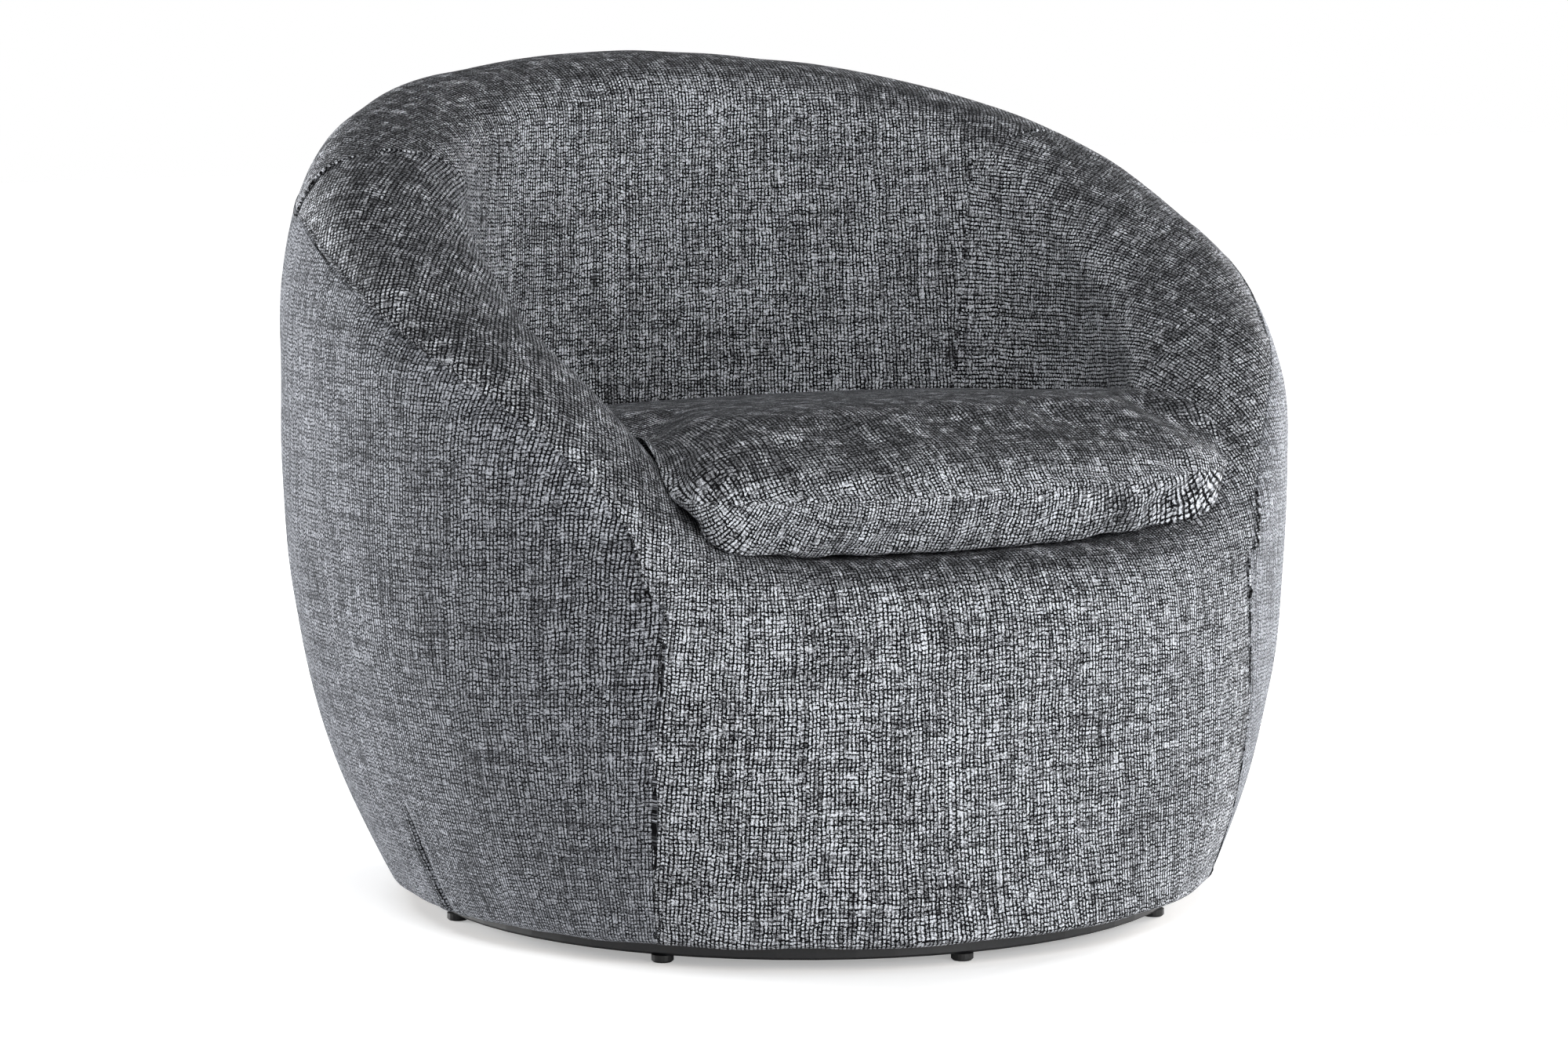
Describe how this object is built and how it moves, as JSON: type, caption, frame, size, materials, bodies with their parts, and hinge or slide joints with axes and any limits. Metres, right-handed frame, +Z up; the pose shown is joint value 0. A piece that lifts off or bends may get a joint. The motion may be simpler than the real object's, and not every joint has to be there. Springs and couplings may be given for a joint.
{
  "type": "swivel armchair",
  "caption": "Round barrel armchair with a sloping rolled rim, a bucket seat with a loose cushion, and a low round swivel base.",
  "frame": {"origin": "on the floor, under the middle of the whole chair's width and depth", "axes": "+Z up, the chair faces -Y, +X is to the right of someone who looks at its front"},
  "size_m": [0.8396, 0.749, 0.681],
  "materials": {
    "cloth": "dark grey tufted chenille with a silvery sheen",
    "foam": "cream upholstery foam",
    "plywood": "raw plywood",
    "hardboard": "bent brown hardboard",
    "plinth": "charcoal satin paint on board",
    "glide": "black moulded",
    "steel": "zinc plated",
    "dust_cloth": "black non-woven"
  },
  "bodies": {
    "base": {"base_board": "plinth", "glide_1": "glide", "glide_2": "glide", "glide_3": "glide", "glide_4": "glide", "glide_5": "glide", "glide_6": "glide", "glide_7": "glide", "glide_8": "glide", "lower_swivel_plate": "steel", "base_screw_1": "steel", "base_screw_2": "steel", "base_screw_3": "steel", "base_screw_4": "steel"},
    "bearing": {"ball_cage": "steel"},
    "seat": {"upper_swivel_plate": "steel", "seat_bolt_1": "steel", "seat_bolt_2": "steel", "seat_bolt_3": "steel", "seat_bolt_4": "steel", "bottom_board": "plywood", "bottom_hoop": "plywood", "dust_cover": "dust_cloth", "seat_ring": "plywood", "deck_pad": "foam", "rib_left_1": "plywood", "rib_left_2": "plywood", "rib_left_3": "plywood", "rib_left_4": "plywood", "rib_left_5": "plywood", "rib_right_1": "plywood", "rib_right_2": "plywood", "rib_right_3": "plywood", "rib_right_4": "plywood", "rib_right_5": "plywood", "rim_rail_front": "plywood", "rim_rail_right": "plywood", "rim_rail_back": "plywood", "rim_rail_left": "plywood", "outer_board_left": "hardboard", "outer_board_right": "hardboard", "front_board": "hardboard", "seat_spring_1": "steel", "seat_spring_2": "steel", "seat_spring_3": "steel", "seat_spring_4": "steel", "seat_spring_5": "steel", "back_foam": "foam", "arm_foam_left": "foam", "front_foam": "foam", "arm_foam_right": "foam", "inside_back_cover": "cloth", "arm_and_front_cover": "cloth", "outside_cover_left": "cloth", "outside_cover_right": "cloth"},
    "cushion": {"seat_cushion": "cloth"}
  },
  "joints": [
    {"name": "swivel", "type": "hinge", "parent": "base", "child": "seat", "pos_m": [0, -0.0385, 0.025], "axis": [0, 0, 1], "continuous": true},
    {"name": "cage_turn", "type": "hinge", "parent": "base", "child": "bearing", "pos_m": [0, -0.0385, 0.025], "axis": [0, 0, 1], "continuous": true},
    {"name": "cushion_lift", "type": "slide", "parent": "seat", "child": "cushion", "axis": [0, 0, 1], "range_m": [0, 0.25]}
  ],
  "couplings": [
    {"joint": "cage_turn", "follows": "swivel", "ratio": 0.5}
  ]
}
